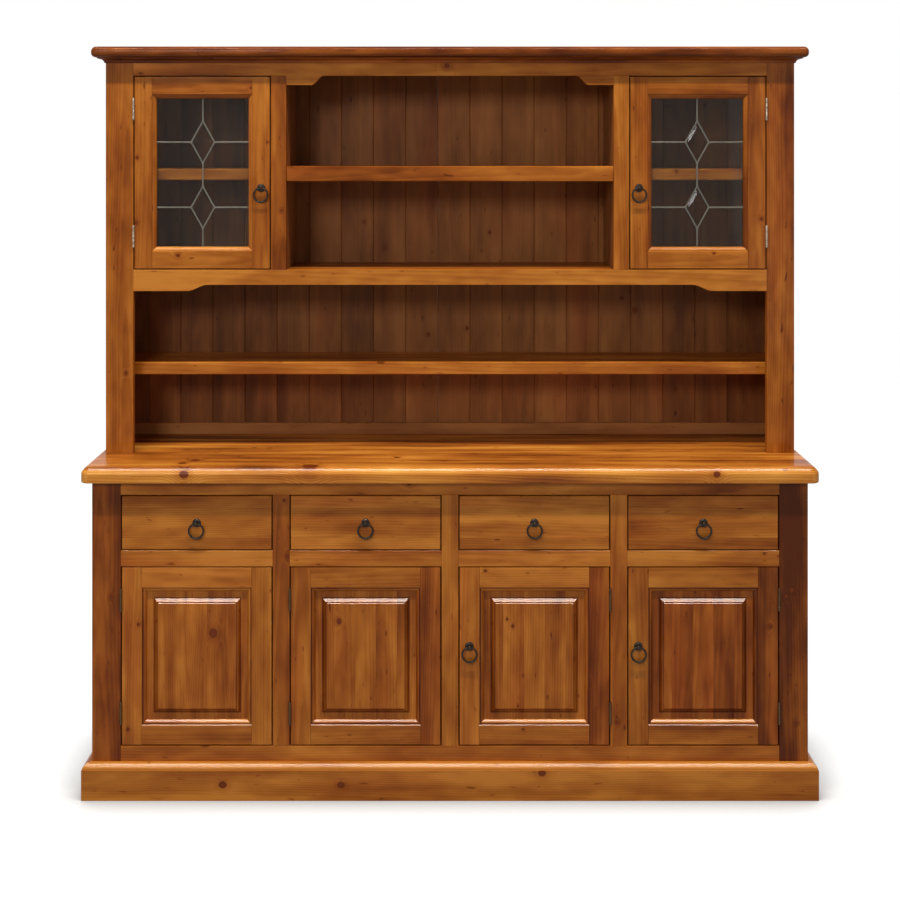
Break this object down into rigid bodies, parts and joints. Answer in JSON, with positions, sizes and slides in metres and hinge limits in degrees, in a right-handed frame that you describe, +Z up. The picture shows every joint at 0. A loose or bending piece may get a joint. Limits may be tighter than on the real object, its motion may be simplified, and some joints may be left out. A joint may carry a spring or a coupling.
{
  "type": "kitchen dresser",
  "caption": "Pine kitchen dresser: drawers over panelled doors in the base, and a set-back hutch with leaded glazed doors, open shelves and a moulded cornice.",
  "frame": {"origin": "on the floor, at the middle of the dresser's bounding box", "axes": "+X to the right as one faces the dresser, +Y to its back, +Z up"},
  "size_m": [2.068, 0.49, 2.1],
  "materials": {
    "pine": "stained and varnished pine, satin gloss",
    "worktop_pine": "lighter stained pine, gloss varnish",
    "inside_pine": "dark stained pine, satin",
    "drawer_wood": "unstained pine, matt",
    "iron": "dark antique iron",
    "glass": "clear, with bevelled diamonds",
    "lead": "dull grey lead came"
  },
  "bodies": {
    "carcase": {"plinth": "pine", "base_side_left": "pine", "base_side_right": "pine", "base_face_frame": "pine", "base_bottom": "inside_pine", "base_back": "inside_pine", "worktop": "worktop_pine", "drawer_board": "drawer_wood", "hutch_side_left": "pine", "hutch_side_right": "pine", "hutch_face_frame": "pine", "hutch_partition_left": "inside_pine", "hutch_partition_right": "inside_pine", "cupboard_floor": "pine", "back_boards": "inside_pine", "centre_shelf": "pine", "cupboard_shelf_left": "pine", "cupboard_shelf_right": "pine", "plate_shelf": "pine", "back_rail": "pine", "bed_mould": "pine", "cornice": "pine"},
    "drawer_1": {"drawer_1_front": "pine", "drawer_1_box": "drawer_wood", "drawer_1_pull_rose": "iron"},
    "drawer_2": {"drawer_2_front": "pine", "drawer_2_box": "drawer_wood", "drawer_2_pull_rose": "iron"},
    "drawer_3": {"drawer_3_front": "pine", "drawer_3_box": "drawer_wood", "drawer_3_pull_rose": "iron"},
    "drawer_4": {"drawer_4_front": "pine", "drawer_4_box": "drawer_wood", "drawer_4_pull_rose": "iron"},
    "base_door_1": {"base_door_1_frame": "pine", "base_door_1_panel": "pine"},
    "base_door_2": {"base_door_2_frame": "pine", "base_door_2_panel": "pine"},
    "base_door_3": {"base_door_3_frame": "pine", "base_door_3_panel": "pine", "base_door_3_pull_rose": "iron"},
    "base_door_4": {"base_door_4_frame": "pine", "base_door_4_panel": "pine", "base_door_4_pull_rose": "iron"},
    "glazed_door_left": {"glazed_door_left_frame": "pine", "glazed_door_left_glass": "glass", "glazed_door_left_lead": "lead", "glazed_door_left_pull_rose": "iron"},
    "glazed_door_right": {"glazed_door_right_frame": "pine", "glazed_door_right_glass": "glass", "glazed_door_right_lead": "lead", "glazed_door_right_pull_rose": "iron"},
    "drawer_1_ring": {"drawer_1_ring": "iron"},
    "drawer_2_ring": {"drawer_2_ring": "iron"},
    "drawer_3_ring": {"drawer_3_ring": "iron"},
    "drawer_4_ring": {"drawer_4_ring": "iron"},
    "base_door_3_ring": {"base_door_3_ring": "iron"},
    "base_door_4_ring": {"base_door_4_ring": "iron"},
    "glazed_door_left_ring": {"glazed_door_left_ring": "iron"},
    "glazed_door_right_ring": {"glazed_door_right_ring": "iron"}
  },
  "joints": [
    {"name": "drawer_1_slide", "type": "slide", "parent": "carcase", "child": "drawer_1", "axis": [0, -1, 0], "range_m": [0, 0.3]},
    {"name": "drawer_2_slide", "type": "slide", "parent": "carcase", "child": "drawer_2", "axis": [0, -1, 0], "range_m": [0, 0.3]},
    {"name": "drawer_3_slide", "type": "slide", "parent": "carcase", "child": "drawer_3", "axis": [0, -1, 0], "range_m": [0, 0.3]},
    {"name": "drawer_4_slide", "type": "slide", "parent": "carcase", "child": "drawer_4", "axis": [0, -1, 0], "range_m": [0, 0.3]},
    {"name": "base_door_1_hinge", "type": "hinge", "parent": "carcase", "child": "base_door_1", "pos_m": [-0.916, -0.2188, 0.392], "axis": [0, 0, -1], "range_deg": [0, 110]},
    {"name": "base_door_2_hinge", "type": "hinge", "parent": "carcase", "child": "base_door_2", "pos_m": [-0.44575, -0.2188, 0.392], "axis": [0, 0, -1], "range_deg": [0, 110]},
    {"name": "base_door_3_hinge", "type": "hinge", "parent": "carcase", "child": "base_door_3", "pos_m": [0.44575, -0.2188, 0.392], "axis": [0, 0, 1], "range_deg": [0, 110]},
    {"name": "base_door_4_hinge", "type": "hinge", "parent": "carcase", "child": "base_door_4", "pos_m": [0.916, -0.2188, 0.392], "axis": [0, 0, 1], "range_deg": [0, 110]},
    {"name": "glazed_door_left_hinge", "type": "hinge", "parent": "carcase", "child": "glazed_door_left", "pos_m": [-0.916, -0.0608, 1.736], "axis": [0, 0, -1], "range_deg": [0, 110]},
    {"name": "glazed_door_right_hinge", "type": "hinge", "parent": "carcase", "child": "glazed_door_right", "pos_m": [0.916, -0.0608, 1.736], "axis": [0, 0, 1], "range_deg": [0, 110]},
    {"name": "drawer_1_ring_swing", "type": "hinge", "parent": "drawer_1", "child": "drawer_1_ring", "pos_m": [-0.70537, -0.2263, 0.7635], "axis": [-1, 0, 0], "range_deg": [-10, 160]},
    {"name": "drawer_2_ring_swing", "type": "hinge", "parent": "drawer_2", "child": "drawer_2_ring", "pos_m": [-0.23513, -0.2263, 0.7635], "axis": [-1, 0, 0], "range_deg": [-10, 160]},
    {"name": "drawer_3_ring_swing", "type": "hinge", "parent": "drawer_3", "child": "drawer_3_ring", "pos_m": [0.23513, -0.2263, 0.7635], "axis": [-1, 0, 0], "range_deg": [-10, 160]},
    {"name": "drawer_4_ring_swing", "type": "hinge", "parent": "drawer_4", "child": "drawer_4_ring", "pos_m": [0.70537, -0.2263, 0.7635], "axis": [-1, 0, 0], "range_deg": [-10, 160]},
    {"name": "base_door_3_ring_swing", "type": "hinge", "parent": "base_door_3", "child": "base_door_3_ring", "pos_m": [0.054, -0.2263, 0.42], "axis": [-1, 0, 0], "range_deg": [-10, 160]},
    {"name": "base_door_4_ring_swing", "type": "hinge", "parent": "base_door_4", "child": "base_door_4_ring", "pos_m": [0.52425, -0.2263, 0.42], "axis": [-1, 0, 0], "range_deg": [-10, 160]},
    {"name": "glazed_door_left_ring_swing", "type": "hinge", "parent": "glazed_door_left", "child": "glazed_door_left_ring", "pos_m": [-0.547, -0.0683, 1.692], "axis": [-1, 0, 0], "range_deg": [-10, 160]},
    {"name": "glazed_door_right_ring_swing", "type": "hinge", "parent": "glazed_door_right", "child": "glazed_door_right_ring", "pos_m": [0.547, -0.0683, 1.692], "axis": [-1, 0, 0], "range_deg": [-10, 160]}
  ]
}
